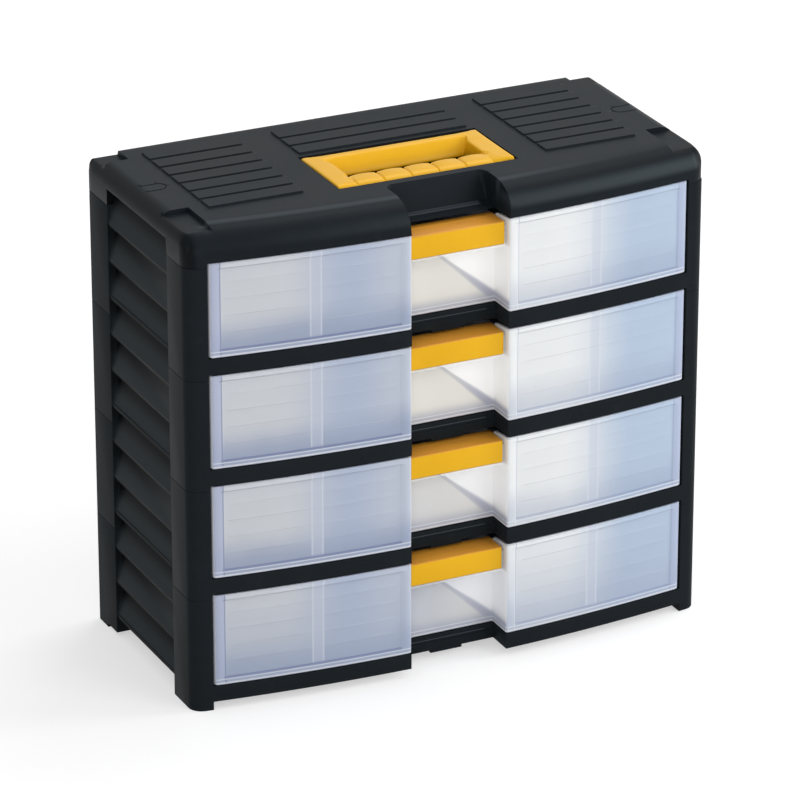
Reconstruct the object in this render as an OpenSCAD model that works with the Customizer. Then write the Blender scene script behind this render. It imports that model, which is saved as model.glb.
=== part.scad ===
// Parts bin cabinet: four stacked drawer rows under a carrying cover.
// Millimetres. +Z is up, the drawers open towards -Y, and the origin is the
// centre of the footprint, on the plane that the feet stand on.
// The front is bowed in plan: it is an arc of one large circle, and every
// row has a square recess in its middle where the drawer pull sits.

/* [Cabinet] */
// Overall width
body_w = 385; // [360:5:430]
// Overall depth, from the recess's front edges to the back
body_d = 180; // [170:2:210]
// How far the front bows out between the corners and the middle
front_bow = 15; // [10:1:20]
// Plan radius of the two front corners
corner_r = 10; // [6:1:12]
// Plan radius of the two back corners
back_corner_r = 3; // [2:0.5:5]
// Wall thickness of the black mouldings
wall = 2.6; // [2.2:0.2:3.4]

/* [Drawer rows] */
// Height of the feet under the lowest row
foot_h = 2.5; // [2:0.5:3]
// Height of one row, from base to base
row_h = 79.5; // [74:0.5:96]
// Underside of the front bar above the row's base
bar_z0 = 3.6; // [3:0.2:5]
// Top of the floor and of the front bar above the row's base
floor_z = 15; // [13:0.5:18]
// Half width of the drawer opening
bay_hw = 178; // [160:1:178]
// Half width of the middle recess
recess_hw = 36; // [30:1:44]
// Depth of the middle recess behind the crown of the front
recess_d = 22; // [18:1:26]

/* [Side louvres] */
// Start of the louvres behind the crown of the front
louvre_y0 = 47; // [42:1:56]
// End of the louvres behind the crown of the front
louvre_y1 = 147; // [130:1:150]
// Louvre boards in one row
louvre_count = 3; // [2:1:4]
// Height of the lowest board's edge above the row's base
louvre_z0 = 11.5; // [10:0.5:13]
// How deep a board's top lies behind the side face
louvre_depth = 6.5; // [4:0.5:8]

/* [Drawers] */
// Wall thickness of the clear trays
tray_wall = 2.2; // [1.8:0.2:2.6]
// How far the front pane lies behind its raised border
pane_relief = 0.9; // [0.5:0.1:1.2]
// Front divider position, from the middle
divider_x = 104; // [90:1:120]
// Thickness of a divider
divider_t = 1.6; // [1.2:0.2:2]
// How far the pull's face stands behind the crown of the front
pull_setback = 5; // [3:0.5:8]
// Height of the pull's face
pull_h = 16; // [12:0.5:20]

/* [Cover and handle] */
// Height of the cover above the top row
cover_h = 24.5; // [23:0.5:30]
// Depth of the corner pockets that take the feet of a second cabinet
pocket_depth = 3; // [3:0.5:3.5]
// Half width of the carry handle
handle_hw = 65.5; // [60:0.5:70]
// Front edge of the handle behind the crown of the front
handle_y0 = 50; // [48:1:54]
// Back edge of the handle behind the crown of the front
handle_y1 = 114; // [108:1:118]
// Depth of the handle's frame
handle_t = 12; // [10:0.5:12]

/* [Hidden] */
$fn = 64;

rows = 4;
half_w = body_w / 2;
back_y = body_d / 2;
// The bowed front is an arc of this radius about [0, bow_cy]. Its crown lies
// in the open recess, so the solids' foremost points are the recess's edges.
bow_r = (half_w * half_w + front_bow * front_bow) / (2 * front_bow);
crown_out = bow_r - sqrt(bow_r * bow_r - recess_hw * recess_hw);
front_y = -body_d / 2 - crown_out;
bow_cy = front_y + bow_r;
cut = 0.5;
gap = 0.4;

// Front bar and recess
bar_t = 3;
recess_y = front_y + recess_d;
step_z = 9.5;
step_d = 1.3;
tab_hw = 12;
tab_drop = 2;

// Side walls and posts
post_in = bay_hw;
post_wall = 2.4;
foot_back_y = front_y + 163;
louvre_ya = front_y + louvre_y0;
louvre_yb = front_y + louvre_y1;
louvre_pitch = row_h / louvre_count;
louvre_lip = 2.2;
louvre_sheet = 2.2;
louvre_proud = 0.8;
back_inset = 2;
back_rib_w = 6;
back_rib_pitch = 50;
wall_rise = 3;
floor_rib_xs = [-130, -65, 65, 130];
floor_rib_t = 2;

// Drawer trays
drawer_room = 0.9;
tray_hw = bay_hw - 1;
tray_z0 = floor_z + gap;
tray_z1 = row_h + bar_z0 - drawer_room;
tray_back = back_y - back_inset - wall - 1.5;
tray_floor = 2;
tray_corner_r = 1.6;
pane_x0 = recess_hw + 7;
pane_x1 = tray_hw - 7;
pane_z0 = tray_z0 + 5;
pane_z1 = tray_z1 - 4;
recess_drop = 3.2;

// Pulls
pull_z1 = tray_z1 - 2.8;
recess_wall_z1 = pull_z1 - 1.7;
pull_z0 = pull_z1 - pull_h;
pull_hw = recess_hw - 1.6;
pull_y0 = front_y + pull_setback;
pull_t = 1.6;
shelf_t = 1.7;
fit = 0.1;
lip_show = 1.5;
hook_z0 = pull_z1 - 10;

// Dividers
divider_xs = [-divider_x, -recess_hw - 1.1, recess_hw + 1.1, divider_x];
divider_names = ["left", "centre_left", "centre_right", "right"];
divider_drop = 7;
rib_t = 1.2;
rib_d = 2.2;

// Cover
cover_z0 = foot_h + rows * row_h;
cover_z1 = cover_z0 + cover_h;
side_round = 11;
shoulder_y = 24;
shoulder_z = 16;
shoulder_steps = 12;
notch_top_d = 42;
notch_mid_d = 35;
notch_ledge_z = cover_z0 + 7;
notch_ledge_h = 1.5;
notch_ledge_d = 2;
lip_drop = 0.5;
notch_corner_r = 8;
pad_x0 = 90;
pad_x1 = 158.5;
pad_y0 = front_y + 54;
pad_pitch = 16.5;
pad_bar = 14;
pad_rise = 1.1;
pad_count = 7;
centre_pad_hw = 63;
pocket_x = 170;
pocket_front_y = front_y + 61;
pocket_back_y = front_y + 162;
slot_y = front_y + 105;
slot_in = 167;
slot_w = 12;
groove = 0.9;

// Handle
pocket_gap = 0.8;
handle_z1 = cover_z1 + 0.5;
handle_z0 = handle_z1 - handle_t;
handle_ya = front_y + handle_y0;
handle_yb = front_y + handle_y1;
pivot_r = handle_t / 2;
pivot_y = handle_yb - pivot_r;
pivot_z = handle_z1 - pivot_r;
arm_w = 15;
grip_d = 21;
grip_round = 5;
finger_pads = 5;
pin_r = 2.9;
pin_len = 4;
pin_clear = 0.1;
well_z = handle_z0 - 4.5;

black = [0.14, 0.16, 0.17];
yellow = [0.93, 0.71, 0.17];
clear = [0.80, 0.84, 0.92];

// Y of the bowed front at a given x, behind it by d
function bow_y(x, d = 0) = bow_cy - sqrt(pow(bow_r - d, 2) - x * x);

// Rounded-rectangle plan with the bowed front, shrunk by d on every side.
// hw is the half width before shrinking, yb the back and r the front radius.
module bowed_plan(hw, yb, r, rb, d = 0) {
  a = hw - d;
  rc = max(r - d, 0.3);
  re = max(rb - d, 0.3);
  y1 = yb - d;
  cx = a - rc;
  cy = bow_cy - sqrt(pow(bow_r - d - rc, 2) - cx * cx);
  ux = cx / (bow_r - d - rc);
  uy = (cy - bow_cy) / (bow_r - d - rc);
  far = 3 * rc + 30;
  difference() {
    intersection() {
      translate([0, bow_cy]) circle(r = bow_r - d, $fn = 720);
      translate([-a, front_y - 1]) square([2 * a, y1 - front_y + 1]);
    }
    for (s = [-1, 1]) {
      polygon([[s * cx, cy], [s * (cx + far * ux), cy + far * uy],
               [s * (cx + far), cy + far * uy], [s * (cx + far), cy]]);
      translate([s * (a - re / 2 + cut), y1 - re / 2 + cut])
        square([re + 2 * cut, re + 2 * cut], center = true);
    }
  }
  for (s = [-1, 1]) {
    translate([s * cx, cy]) circle(r = rc);
    translate([s * (a - re), y1 - re]) circle(r = re);
  }
}

// Everything in front of the recess line, in the middle of the front
module recess_plan(hw = recess_hw, depth = recess_d) {
  translate([-hw, front_y - cut]) square([2 * hw, depth + cut]);
}

module block(x0, x1, y0, y1, z0, z1) {
  translate([x0, y0, z0]) cube([x1 - x0, y1 - y0, z1 - z0]);
}

// Lifts a part of row k, drawn from its base, to its place in the stack
module in_row(k) {
  translate([0, 0, foot_h + (k - 1) * row_h]) children();
}

// ---------------------------------------------------------------- row frame

module frame_plan(d = 0) {
  bowed_plan(half_w, back_y, corner_r, back_corner_r, d);
}

// The front wall as a strip: it follows the bow and folds round the recess
module front_strip(recess_depth = recess_d) {
  difference() {
    frame_plan();
    recess_plan(recess_hw, recess_depth);
    difference() {
      frame_plan(bar_t);
      recess_plan(recess_hw + bar_t, recess_depth + bar_t);
    }
    translate([-body_w, recess_y + bar_t])
      square([2 * body_w, body_d]);
  }
}

// Corner posts: hollow boxes that stand on their feet, closed at the top
module posts(z0, z1) {
  difference() {
    translate([0, 0, z0]) linear_extrude(z1 - z0) intersection() {
      frame_plan();
      post_zones(0);
    }
    translate([0, 0, z0 - cut]) linear_extrude(z1 - z0 - wall + cut) intersection() {
      frame_plan(post_wall);
      post_zones(post_wall);
    }
  }
}

module post_zones(d) {
  for (s = [0, 1]) mirror([s, 0]) {
    translate([post_in + d, front_y - 1])
      square([half_w, louvre_y0 + 1 - d]);
    translate([post_in + d, louvre_yb + d])
      square([half_w, body_d]);
  }
}

// One louvre board in section: its top lies deep, its lower edge stands proud
module louvre_section(h) {
  deep = half_w - louvre_depth;
  back = deep - louvre_sheet;
  edge = half_w - louvre_proud;
  polygon([[back, h], [deep, h], [edge, louvre_lip], [edge, 0], [back, 0],
           [back, louvre_lip], [edge - louvre_sheet, louvre_lip], [back, h - louvre_lip]]);
}

module louvres() {
  for (i = [0:louvre_count - 1]) {
    h = louvre_pitch - (i == louvre_count - 1 ? gap : 0);
    for (s = [0, 1]) mirror([s, 0, 0])
      translate([0, louvre_yb, louvre_z0 + i * louvre_pitch]) rotate([90, 0, 0])
        linear_extrude(louvre_yb - louvre_ya) louvre_section(h);
  }
}

// The louvres' inner foot: joins the floor to the lowest board
module sills() {
  for (s = [0, 1]) mirror([s, 0, 0])
    block(bay_hw - 1, half_w - louvre_depth, louvre_ya - 1, louvre_yb + 1,
          louvre_z0, floor_z);
}

// The back: a ribbed wall whose top edge rises behind the row above
module back_wall() {
  y1 = back_y - back_inset;
  block(-bay_hw - 1, bay_hw + 1, y1 - wall, y1, bar_z0, row_h);
  block(-bay_hw + gap, bay_hw - gap, y1 - wall, y1, row_h - cut, row_h + wall_rise);
  for (i = [-3:3])
    translate([i * back_rib_pitch, 0, 0])
      block(-back_rib_w / 2, back_rib_w / 2, y1 - cut, back_y, bar_z0, row_h + wall_rise);
}

// Feet under the corner posts, which drop into the pockets of a cover below
module feet() {
  difference() {
    translate([0, 0, -foot_h]) linear_extrude(foot_h + cut) intersection() {
      frame_plan();
      foot_zones(0);
    }
    translate([0, 0, -foot_h - cut]) linear_extrude(foot_h + 3 * cut) intersection() {
      frame_plan(post_wall);
      foot_zones(post_wall);
    }
  }
}

module foot_zones(d) {
  for (s = [0, 1]) mirror([s, 0]) {
    translate([post_in + d, front_y - 1])
      square([half_w, louvre_y0 + 1 - d]);
    translate([post_in + d, foot_back_y + d])
      square([half_w, body_d]);
  }
}

module frame(k) {
  color(black) in_row(k) {
    if (k == 1) feet();
    posts(0, row_h);
    translate([0, 0, floor_z - wall]) linear_extrude(wall) difference() {
      frame_plan(1);
      recess_plan(recess_hw, recess_d);
    }
    translate([0, 0, step_z]) linear_extrude(floor_z - step_z) front_strip();
    translate([0, 0, bar_z0]) linear_extrude(step_z - bar_z0)
      front_strip(recess_d - step_d);
    block(-tab_hw, tab_hw, recess_y - step_d, recess_y + bar_t - step_d,
          bar_z0 - tab_drop, bar_z0 + cut);
    louvres();
    sills();
    back_wall();
    floor_ribs();
  }
}

// Stiffening ribs under the floor, front to back and clear of the row below
module floor_ribs() {
  for (x = floor_rib_xs)
    block(x - floor_rib_t / 2, x + floor_rib_t / 2, bow_y(x, bar_t) - cut,
          back_y - back_inset - 1, bar_z0 + 2, floor_z - 1);
}

// --------------------------------------------------------------- drawer tray

module tray_plan(d = 0) {
  difference() {
    bowed_plan(tray_hw, tray_back, tray_corner_r, tray_corner_r, d);
    recess_plan(recess_hw + d, recess_d + d);
  }
}

// The thin layer of the front that the recessed panes leave out
module pane_cut() {
  intersection() {
    difference() {
      translate([0, 0, pane_z0]) linear_extrude(pane_z1 - pane_z0)
        square([body_w, 2 * body_d], center = true);
      translate([0, bow_cy, pane_z0 - 1]) cylinder(r = bow_r - pane_relief,
                                                   h = row_h, $fn = 720);
    }
    for (s = [0, 1]) mirror([s, 0, 0])
      block(pane_x0, pane_x1, front_y - 1, front_y + front_bow + 5, pane_z0, pane_z1);
  }
}

// Two slim ribs that hold a divider's edge
module guide(x, y, dir, z0, z1) {
  for (s = [-1, 1])
    translate([x + s * (divider_t / 2 + gap / 2 + rib_t / 2) - rib_t / 2,
               dir > 0 ? y - cut : y - rib_d, z0])
      cube([rib_t, rib_d + cut, z1 - z0]);
}

module guides() {
  z1 = tray_z1 - divider_drop;
  for (x = divider_xs) {
    guide(x, tray_back - tray_wall, -1, tray_z0 + 1, z1);
    if (abs(x) > recess_hw + 5)
      guide(x, bow_y(x, tray_wall), 1, tray_z0 + 1, z1);
  }
}

// Shelf and lip that the pull is clipped over, across the recess
module pull_shelf() {
  z = recess_wall_z1;
  block(-recess_hw - 1, recess_hw + 1, pull_y0 + pull_t + fit, recess_y + 1,
        z - shelf_t, z);
  block(-recess_hw - 1, recess_hw + 1, pull_y0 + pull_t + fit,
        pull_y0 + pull_t + fit + shelf_t, pull_z0 - lip_show, z);
}

// What the walls of the tray's middle recess leave out: their top edges slope
// down to the back one, which lies below the pull's top
module recess_cut() {
  hw = recess_hw + tray_wall + cut;
  y1 = recess_y + tray_wall + cut;
  rotate([90, 0, 90]) translate([0, 0, -hw]) linear_extrude(2 * hw)
    polygon([[front_y + 1, tray_z1], [y1, tray_z1 - recess_drop],
             [y1, row_h * 2], [front_y + 1, row_h * 2]]);
  block(-hw, hw, recess_y - 1, y1, recess_wall_z1, row_h * 2);
}

module drawer_tray(k) {
  color(clear, 0.5) in_row(k) {
    difference() {
      translate([0, 0, tray_z0]) linear_extrude(tray_z1 - tray_z0) tray_plan();
      translate([0, 0, tray_z0 + tray_floor]) linear_extrude(row_h)
        tray_plan(tray_wall);
      pane_cut();
      recess_cut();
    }
    pull_shelf();
    guides();
  }
}

module drawer_pull(k) {
  y1 = recess_y + tray_wall + fit;
  color(yellow) in_row(k) {
    block(-pull_hw, pull_hw, pull_y0, pull_y0 + pull_t, pull_z0, pull_z1);
    block(-pull_hw, pull_hw, pull_y0, y1 + pull_t, pull_z1 - pull_t, pull_z1);
    block(-pull_hw, pull_hw, y1, y1 + pull_t, hook_z0, pull_z1);
  }
}

module divider(k, i) {
  x = divider_xs[i];
  y0 = abs(x) > recess_hw + 5 ? bow_y(abs(x) + divider_t, tray_wall + gap)
                              : recess_y + tray_wall + pull_t + 2 * gap;
  y1 = tray_back - tray_wall - gap;
  z0 = tray_z0 + tray_floor + gap / 2;
  z1 = tray_z1 - divider_drop;
  color(clear, 0.6) in_row(k) {
    block(x - divider_t / 2, x + divider_t / 2, y0, y1, z0, z1);
    // bead along the top edge, between the guide ribs
    block(x - divider_t, x + divider_t, y0 + 4, y1 - 4, z1 - 2, z1);
  }
}

// --------------------------------------------------------------------- cover

// The cover's outside: bowed shoulder in front, rounded edges at the sides
module cover_form(d = 0) {
  top = cover_z1 - d;
  sy = shoulder_y - d;
  sz = shoulder_z - d;
  sr = side_round - d;
  low = cover_z0;
  intersection() {
    translate([0, bow_cy, 0]) rotate_extrude($fn = 720) polygon(concat(
      [[0, low], [bow_r - d, low]],
      [for (i = [0:shoulder_steps])
        let (a = 90 * i / shoulder_steps)
          [bow_r - d - sy * (1 - cos(a)), top - sz * (1 - sin(a))]],
      [[0, top]]));
    translate([0, back_y, 0]) rotate([90, 0, 0]) linear_extrude(body_d * 1.2) {
      translate([-half_w + d, low]) square([body_w - 2 * d, top - sr - low]);
      translate([-half_w + d + sr, low])
        square([body_w - 2 * d - 2 * sr, top - low]);
      for (s = [-1, 1]) translate([s * (half_w - side_round), top - sr])
        circle(r = sr);
    }
    translate([0, 0, low]) linear_extrude(top - low) frame_plan(d);
  }
}

// Middle notch in the cover, with a sloping back wall and a small ledge.
// d grows it, for the wall behind it.
module notch(d = 0) {
  deep = front_y + notch_top_d + d;
  mid = front_y + notch_mid_d + d;
  intersection() {
    translate([0, 0, cover_z0 - 5]) linear_extrude(cover_h + 10) {
      r = notch_corner_r;
      hw = recess_hw + d;
      translate([-hw, front_y - 5]) square([2 * hw, deep - front_y + 5 - r]);
      translate([-hw + r, front_y - 5]) square([2 * hw - 2 * r, deep - front_y + 5]);
      for (s = [-1, 1]) translate([s * (hw - r), deep - r]) circle(r = r);
    }
    rotate([90, 0, 90]) translate([0, 0, -body_w / 2]) linear_extrude(body_w)
      polygon([[front_y - 6, cover_z0 - 5], [recess_y + d, cover_z0 - 5],
               [recess_y + d, cover_z0 + bar_z0],
               [mid - notch_ledge_d, notch_ledge_z - d],
               [mid - notch_ledge_d, notch_ledge_z + notch_ledge_h - d],
               [mid, notch_ledge_z + notch_ledge_h - d], [deep, cover_z1 + cut],
               [deep, cover_z1 + 5], [front_y - 6, cover_z1 + 5]]);
  }
}

// The inside of the cover, open downwards
module cover_inside() {
  difference() {
    cover_form(wall);
    notch(wall);
    // floor and walls of the handle well
    block(-handle_hw - pocket_gap - pin_len - 2, handle_hw + pocket_gap + pin_len + 2,
          handle_ya - pocket_gap - wall, handle_yb + pocket_gap + wall,
          well_z - wall, cover_z1);
    // solid corners that carry the stacking pockets
    for (s = [0, 1]) mirror([s, 0, 0]) {
      block(post_in, half_w, front_y, louvre_ya, cover_z0 - 2, cover_z1);
      block(post_in, half_w, louvre_yb, back_y, cover_z0 - 2, cover_z1);
      block(pocket_x - wall, half_w, front_y, pocket_front_y + wall,
            cover_z1 - pocket_depth - wall, cover_z1);
      block(pocket_x - wall, half_w, pocket_back_y - wall, back_y,
            cover_z1 - pocket_depth - wall, cover_z1);
    }
  }
}

// What the cover leaves out below: its edge is raised between the corners
module cover_underside() {
  low = cover_z0 - 5;
  block(-bay_hw, bay_hw, front_y - 5, recess_y, low, cover_z0 + bar_z0 - lip_drop);
  block(-bay_hw, bay_hw, front_y, back_y + 5, low, cover_z0 + bar_z0 - lip_drop);
  for (s = [0, 1]) mirror([s, 0, 0])
    block(bay_hw, half_w + 5, louvre_ya, louvre_yb, low, cover_z0 + louvre_z0);
}

module corner_pockets() {
  z = cover_z1 - pocket_depth;
  for (s = [0, 1]) mirror([s, 0, 0]) {
    block(pocket_x, half_w + 1, front_y - 1, pocket_front_y, z, cover_z1 + 1);
    block(pocket_x, half_w + 1, pocket_back_y, back_y + 1, z, cover_z1 + 1);
  }
}

// U-shaped groove round the middle of each side edge
module side_grooves() {
  for (s = [0, 1]) mirror([s, 0, 0])
    translate([0, slot_y, cover_z1 - groove]) linear_extrude(2) difference() {
      slot_plan(0);
      slot_plan(groove);
    }
}

module slot_plan(d) {
  r = slot_w / 2 - d;
  translate([slot_in + slot_w / 2, 0]) circle(r = r);
  translate([slot_in + slot_w / 2, -r]) square([half_w, 2 * r]);
}

// Raised bars on the top: two grids of seven and three bars behind the handle
module rib_pads() {
  z = cover_z1 - 0.2;
  for (i = [0:pad_count - 1]) {
    y = pad_y0 + i * pad_pitch;
    for (s = [-1, 1])
      translate([s > 0 ? pad_x0 : -pad_x1, y, z])
        cube([pad_x1 - pad_x0, pad_bar, pad_rise + 0.2]);
    if (y > handle_yb + 2)
      translate([-centre_pad_hw, y, z])
        cube([2 * centre_pad_hw, pad_bar, pad_rise + 0.2]);
  }
}

module handle_well() {
  hw = handle_hw + pocket_gap;
  block(-hw, hw, handle_ya - pocket_gap, handle_yb + pocket_gap,
        well_z, cover_z1 + 5);
  for (s = [0, 1]) mirror([s, 0, 0])
    translate([hw - 1, pivot_y, pivot_z]) rotate([0, 90, 0])
      cylinder(r = pin_r + pin_clear, h = pin_len + 1);
}

module top_cover() {
  color(black) difference() {
    union() {
      difference() {
        cover_form();
        cover_inside();
        cover_underside();
      }
      rib_pads();
    }
    notch();
    corner_pockets();
    side_grooves();
    handle_well();
  }
}

// -------------------------------------------------------------------- handle

// Grip section across the handle: a bar with rounded corners
module grip_section() {
  y1 = handle_ya + grip_d;
  r = grip_round;
  translate([handle_ya, handle_z0 + r])
    square([grip_d, handle_t - 2 * r]);
  translate([handle_ya + r, handle_z0]) square([grip_d - 2 * r, handle_t]);
  for (y = [handle_ya + r, y1 - r]) for (z = [handle_z0 + r, handle_z1 - r])
    translate([y, z]) circle(r = r);
}

// Section of the back bar: a barrel about the pivot with a sloping front
module hinge_section() {
  translate([pivot_y, pivot_z]) circle(r = pivot_r);
  polygon([[pivot_y, handle_z1], [pivot_y - pivot_r, handle_z1],
           [pivot_y - 2 * pivot_r, handle_z0 + 1], [pivot_y - 2 * pivot_r, handle_z0],
           [pivot_y, handle_z0]]);
}

module carry_handle() {
  across = 2 * handle_hw;
  color(yellow) difference() {
    union() {
      translate([-handle_hw, 0, 0]) rotate([90, 0, 90]) linear_extrude(across) {
        grip_section();
        hinge_section();
      }
      for (s = [0, 1]) mirror([s, 0, 0])
        block(handle_hw - arm_w, handle_hw, handle_ya + grip_d / 2, pivot_y,
              handle_z0, handle_z1);
      for (s = [-1, 1]) translate([s * handle_hw, pivot_y, pivot_z])
        rotate([0, s * 90, 0]) translate([0, 0, -1])
          cylinder(r = pin_r, h = pin_len);
    }
    // narrow grooves divide the grip into finger pads
    pad_w = 2 * (handle_hw - arm_w) / finger_pads;
    for (i = [0:finger_pads])
      translate([-handle_hw + arm_w + i * pad_w - 0.4, handle_ya - 1, handle_z1 - 0.8])
        cube([0.8, grip_d + 2, 2]);
  }
}

frame(1);  // frame_1
frame(2);  // frame_2
frame(3);  // frame_3
frame(4);  // frame_4
top_cover();
carry_handle();
for (k = [1:rows]) {
  drawer_tray(k);
  drawer_pull(k);
  for (i = [0:3])
    divider(k, i);
}
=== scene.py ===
import math

import bmesh
import bpy
import numpy as np
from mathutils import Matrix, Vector


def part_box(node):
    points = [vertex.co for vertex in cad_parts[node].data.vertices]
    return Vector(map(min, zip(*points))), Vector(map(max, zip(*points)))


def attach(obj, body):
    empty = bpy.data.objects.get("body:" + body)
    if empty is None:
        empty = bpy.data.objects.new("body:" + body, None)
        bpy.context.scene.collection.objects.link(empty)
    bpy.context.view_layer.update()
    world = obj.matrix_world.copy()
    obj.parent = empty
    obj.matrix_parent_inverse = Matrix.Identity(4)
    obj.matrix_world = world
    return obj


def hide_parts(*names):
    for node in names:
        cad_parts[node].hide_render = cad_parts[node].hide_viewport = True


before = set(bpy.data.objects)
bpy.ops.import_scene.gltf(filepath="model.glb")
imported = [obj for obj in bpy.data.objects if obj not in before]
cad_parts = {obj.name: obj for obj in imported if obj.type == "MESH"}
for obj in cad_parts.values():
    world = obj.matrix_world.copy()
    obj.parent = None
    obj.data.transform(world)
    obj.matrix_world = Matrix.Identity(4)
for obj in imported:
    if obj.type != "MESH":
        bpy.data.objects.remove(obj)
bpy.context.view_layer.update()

# Parts bin cabinet: four rows of clear drawers under a carrying cover.
# Metres, +Z up, the drawers open towards -Y. Lengths written with MM are millimetres.


# ---------------------------------------------------------------- sizes

MM = 0.001
ROWS, ROW_H = 4, 79.5 * MM
HALF_W, BACK = 192.5 * MM, 90 * MM

# the front bows along an arc of radius BOW_R round x 0, y BOW_Y, with its crown at y FRONT
BOW_R, BOW_Y = 1242.708 * MM, 1152.187 * MM
FRONT = BOW_Y - BOW_R
DEPTH = BACK - FRONT

# drawers, their heights above the base of their row
TRAY_X, TRAY_BACK, WALL = 177 * MM, 83.9 * MM, 2.2 * MM
TRAY_LOW, TRAY_TOP = 15.4 * MM, 82.2 * MM
RECESS_X, RECESS_Y = 36 * MM, FRONT + 22 * MM
PANE_X, PANE_Z = (43 * MM, 170 * MM), (TRAY_LOW + 5 * MM, TRAY_TOP - 4 * MM)
PANE_DEEP, PANE_EDGE = 0.9 * MM, 0.5 * MM
DIVIDER_X, CENTRE_DIVIDER_X = 104 * MM, 37.1 * MM
# label lines on the panes, above the tray's underside, in two runs beside each divider
LINE_LOW, LINE_PITCH, LINES = 5.8 * MM, 11.8 * MM, 4
LINE_RUNS = (46 * MM, 98 * MM), (112 * MM, 166 * MM)
LINE_HALF, LINE_HIGH = 0.35 * MM, 0.08 * MM
PULL_X, PULL_LOW, PULL_TOP = 34.4 * MM, TRAY_TOP - 18.8 * MM, TRAY_TOP - 2.8 * MM
SHELF_TOP = TRAY_TOP - 4.5 * MM  # the shelf that carries the pull, and the wall it meets
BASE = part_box("drawer_tray_1")[0].z - TRAY_LOW  # the base of the lowest row

# side walls: louvre boards between the corner posts
LOUVRES, LOUVRE_LOW, LOUVRE_DEEP = 3, 11.5 * MM, 9 * MM
LOUVRE_Y, LOUVRE_HALF = 6.5 * MM, 50 * MM
POST_X = 178.1 * MM

# cover; the places marked _P lie behind the front's crown, before the bow is put in
SEAM = BASE + ROWS * ROW_H
COVER_TOP, LIP = SEAM + 24.5 * MM, SEAM + 3.1 * MM
FRONT_ROLL, SIDE_ROLL, BACK_ROLL = (24 * MM, 16 * MM), (11 * MM, 11 * MM), (1.6 * MM, 1.6 * MM)
FRONT_CORNER, BACK_CORNER = 10 * MM, 3 * MM
NOTCH_X, NOTCH_P, NOTCH_R, NOTCH_SIDE = 36 * MM, 42 * MM, 8 * MM, 1.1 * MM
# the notch's floor from front to back, as places and heights above the seam: an open lip to
# NOTCH_OPEN, a step, two beads and the rise to the top
NOTCH_FLOOR = np.array([(0, 3.1), (21.9, 3.1), (22, 3.4), (31.8, 3.8), (32.1, 4.6), (32.5, 4.6),
                        (32.8, 4), (34, 4.2), (34.2, 5.4), (34.6, 5.4), (35, 5), (42, 24.5)]) * MM
NOTCH_OPEN, NOTCH_BEADS = 22 * MM, (32.3 * MM, 34.4 * MM)
WELL_X, WELL_P, WELL_EDGE, WELL_DEEP = 66.3 * MM, (49.2 * MM, 114.8 * MM), 0.3 * MM, 16 * MM
PAD_P = [(54 + 16.5 * i) * MM for i in range(7)]
PAD_X, MIDDLE_PAD_X = (90 * MM, 158.5 * MM), 63 * MM
PAD_DEEP, PAD_HIGH, PAD_EDGE = 14 * MM, 1.1 * MM, 0.35 * MM
POCKET_X, POCKET_P, POCKET_EDGE = 170 * MM, (61 * MM, 162 * MM), 0.4 * MM
POCKET_DEEP = 3 * MM
SLOT_X, SLOT_P, SLOT_R = 173 * MM, 105 * MM, 5.5 * MM
SLOT_HALF, SLOT_DEEP, SLOT_END = 0.6 * MM, 0.9 * MM, 183 * MM

# carry handle, folded flat
HANDLE_X, HANDLE_TOP, HANDLE_LOW = 65.5 * MM, COVER_TOP + 0.5 * MM, COVER_TOP - 11.5 * MM
HANDLE_FRONT, HANDLE_BACK = FRONT + 50 * MM, FRONT + 114 * MM
GRIP, ARM, HINGE_BAR, FINGER_PADS = 21 * MM, 15 * MM, 18.1 * MM, 5
PIVOT_IN = 6 * MM  # from the handle's back and top to the middle of its pivots
PIVOT_Y, PIVOT_Z = HANDLE_BACK - PIVOT_IN, HANDLE_TOP - PIVOT_IN


# ---------------------------------------------------------------- camera

def look(azimuth, elevation, distance, target, lens):
    """Camera on a sphere round the target: azimuth 0 looks along +Y, elevation is above the
    horizon, both in degrees; lens is its focal length in millimetres."""
    a, e = math.radians(azimuth), math.radians(elevation)
    back = Vector((math.sin(a) * math.cos(e), -math.cos(a) * math.cos(e), math.sin(e)))
    data = bpy.data.cameras.new("camera")
    data.lens, data.sensor_width = lens, 36
    data.clip_start, data.clip_end = 0.1, 40
    cam = bpy.data.objects.new("camera", data)
    bpy.context.scene.collection.objects.link(cam)
    cam.location = Vector(target) + back * distance
    cam.rotation_mode = "QUATERNION"
    cam.rotation_quaternion = (-back).to_track_quat("-Z", "Y")
    bpy.context.scene.camera = cam


look(azimuth=-25.692, elevation=23.185, distance=3.53713,
     target=(-1.984 * MM, -0.521 * MM, 165.121 * MM), lens=231.46)


# ------------------------------------------------------- material building

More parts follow.
